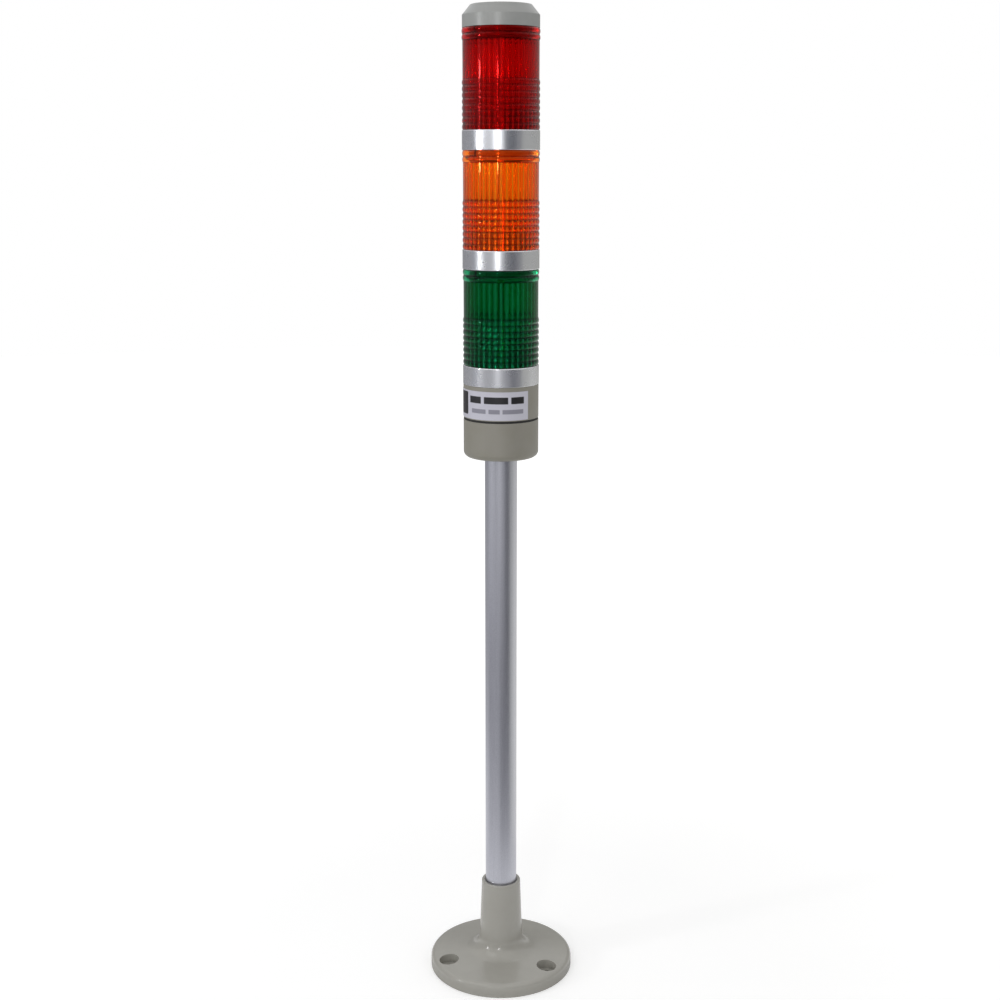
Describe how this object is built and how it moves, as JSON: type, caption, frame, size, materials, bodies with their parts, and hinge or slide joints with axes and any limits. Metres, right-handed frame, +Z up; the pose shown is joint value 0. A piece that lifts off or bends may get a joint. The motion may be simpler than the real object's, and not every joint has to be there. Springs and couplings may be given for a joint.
{
  "type": "stack light",
  "caption": "Slim tower signal light: red, amber and green fluted lens modules with bright collars over a grey housing, on a tube pole with a round screw-down foot.",
  "frame": {"origin": "centre of the foot's underside, on the pole's axis", "axes": "+Z up along the pole, the label faces -Y, +X to the right seen from the label's side"},
  "size_m": [0.08, 0.08, 0.5275],
  "materials": {
    "grey_moulding": "satin moulded plastic",
    "anodised_tube": "satin anodised, drawn",
    "bright_collar": "metallised, brushed bright",
    "black_rubber": "matt",
    "green_lens": "clear tinted, polished",
    "amber_lens": "clear tinted, polished",
    "red_lens": "clear tinted, polished",
    "white_moulding": "matt",
    "lamp_glass": "clear glass on a nickel cap",
    "contact_brass": "bright strip",
    "screw_steel": "zinc plated",
    "label_film": "printed film, satin"
  },
  "bodies": {
    "base": {"foot": "grey_moulding", "foot_set_screw": "screw_steel", "pole_tube": "anodised_tube", "pole_lock_screw": "screw_steel", "lower_housing": "grey_moulding", "housing_seal": "black_rubber", "housing_screws": "screw_steel", "upper_housing": "grey_moulding", "label": "label_film", "contact_plate": "white_moulding", "base_contacts": "contact_brass", "terminal_block": "white_moulding", "terminal_screws": "screw_steel"},
    "green_module": {"green_ring": "bright_collar", "green_seal": "black_rubber", "green_lens": "green_lens", "green_holder": "white_moulding", "green_lamp": "lamp_glass", "green_contacts": "contact_brass"},
    "amber_module": {"amber_ring": "bright_collar", "amber_seal": "black_rubber", "amber_lens": "amber_lens", "amber_holder": "white_moulding", "amber_lamp": "lamp_glass", "amber_contacts": "contact_brass"},
    "red_module": {"red_ring": "bright_collar", "red_seal": "black_rubber", "red_lens": "red_lens", "red_holder": "white_moulding", "red_lamp": "lamp_glass", "red_contacts": "contact_brass"},
    "cap": {"top_cap": "grey_moulding", "cap_seal": "black_rubber"}
  },
  "joints": [
    {"name": "green_twist", "type": "hinge", "parent": "base", "child": "green_module", "pos_m": [0, 0, 0.3358], "axis": [0, 0, 1], "range_deg": [0, 25]},
    {"name": "amber_twist", "type": "hinge", "parent": "green_module", "child": "amber_module", "pos_m": [0, 0, 0.3958], "axis": [0, 0, 1], "range_deg": [0, 25]},
    {"name": "red_twist", "type": "hinge", "parent": "amber_module", "child": "red_module", "pos_m": [0, 0, 0.4558], "axis": [0, 0, 1], "range_deg": [0, 25]},
    {"name": "cap_twist", "type": "hinge", "parent": "red_module", "child": "cap", "pos_m": [0, 0, 0.5158], "axis": [0, 0, 1], "range_deg": [0, 25]}
  ]
}
